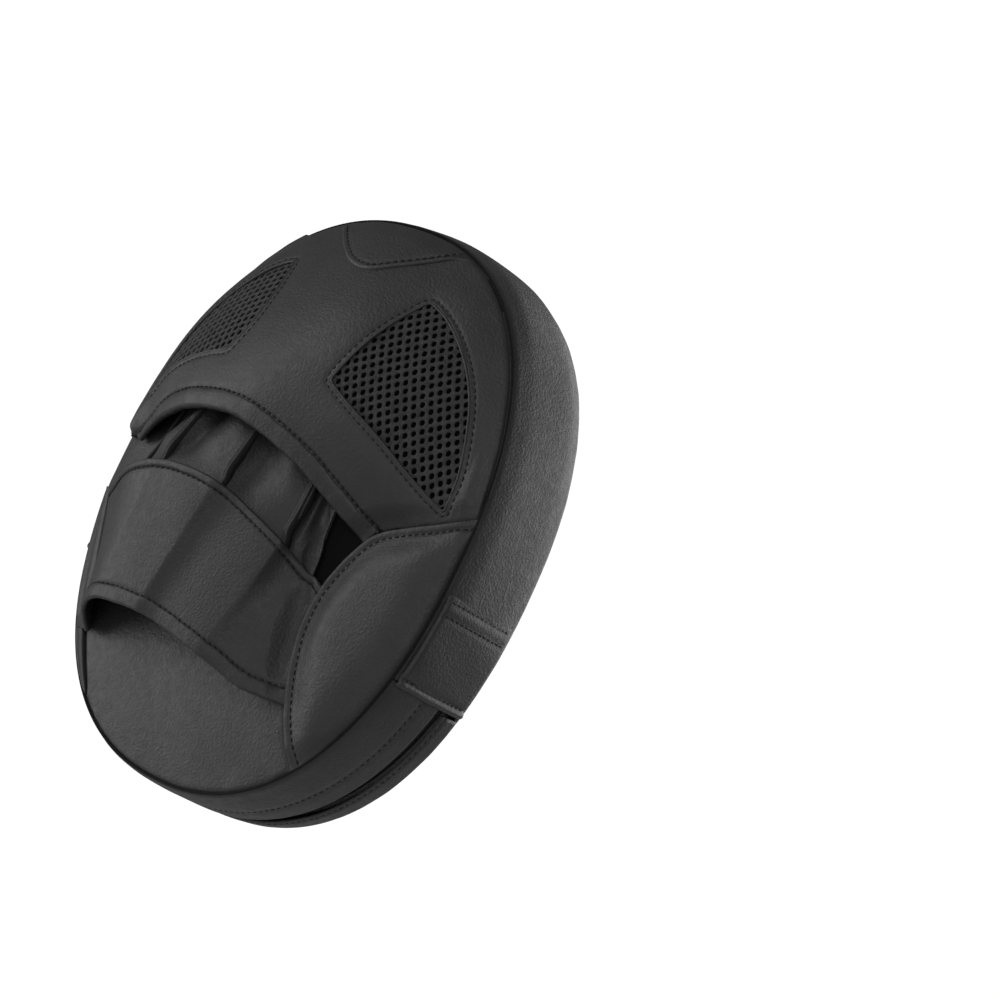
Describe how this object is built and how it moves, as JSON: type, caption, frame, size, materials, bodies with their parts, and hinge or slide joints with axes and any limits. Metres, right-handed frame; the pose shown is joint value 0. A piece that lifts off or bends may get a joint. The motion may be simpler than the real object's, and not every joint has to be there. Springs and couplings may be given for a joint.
{
  "type": "focus mitt",
  "caption": "Oval padded boxing focus mitt for the left hand: flat striking pad, finger hood with mesh windows, hand strap and an open wrist slit.",
  "frame": {"origin": "middle of the palm surface, at the centre of the oval outline", "axes": "+Z towards the fingertips, +Y out of the palm surface towards the back of the hand, -Y out of the striking face, +X towards the little finger"},
  "size_m": [0.2024, 0.0923, 0.253],
  "materials": {
    "leather": "satin charcoal-black synthetic leather with a fine pebble grain",
    "mesh": "black knitted spacer mesh with oval holes",
    "lining": "dark woven lining cloth",
    "thread": "black twisted sewing thread",
    "print": "white screen print",
    "soft_foam": "soft open-cell foam",
    "firm_foam": "dense closed-cell foam"
  },
  "bodies": {
    "hand_shell": {"palm_panel": "leather", "palm_foam": "soft_foam", "hand_core": "firm_foam", "hand_lining": "lining", "thumb_panel": "leather", "thumb_foam": "soft_foam", "outer_panel": "leather", "wrist_gusset": "leather", "side_gusset": "leather", "thumb_side_tab": "leather", "outer_side_tab": "leather"},
    "hood": {"hood_panel": "leather", "hood_lining": "lining", "arch_binding": "leather", "thumb_side_mesh": "mesh", "outer_side_mesh": "mesh", "tip_patch": "leather"},
    "hand_strap": {"strap_panel": "leather", "strap_foam": "soft_foam", "strap_lining": "lining", "strap_top_hem": "leather", "strap_wrist_hem": "leather"},
    "finger_stalls": {"index_stall": "leather", "middle_stall": "leather", "ring_stall": "leather", "little_stall": "leather", "stall_ridges": "leather"},
    "striking_pad": {"face_cover": "leather", "face_foam": "soft_foam", "core_foam": "firm_foam", "pad_lining": "lining", "pad_gusset": "leather"}
  },
  "joints": [
    {"name": "pad_flex", "type": "hinge", "parent": "hand_shell", "child": "striking_pad", "pos_m": [0, -0.03, 0.125], "axis": [-1, 0, 0], "range_deg": [0, 2], "stiffness_Nm_per_rad": 20},
    {"name": "hood_lift", "type": "hinge", "parent": "hand_shell", "child": "hood", "pos_m": [0, -0.004, 0.124], "axis": [1, 0, 0], "range_deg": [0, 3], "stiffness_Nm_per_rad": 8},
    {"name": "strap_lift", "type": "slide", "parent": "hand_shell", "child": "hand_strap", "axis": [0, 1, 0], "range_m": [0, 0.004], "stiffness_N_per_m": 2000},
    {"name": "stall_flex", "type": "hinge", "parent": "hand_shell", "child": "finger_stalls", "pos_m": [0, 0.007, 0.064], "axis": [1, 0, 0], "range_deg": [0, 3], "stiffness_Nm_per_rad": 4}
  ],
  "couplings": [
    {"joint": "stall_flex", "follows": "strap_lift", "rad_per_m": 12.8}
  ]
}
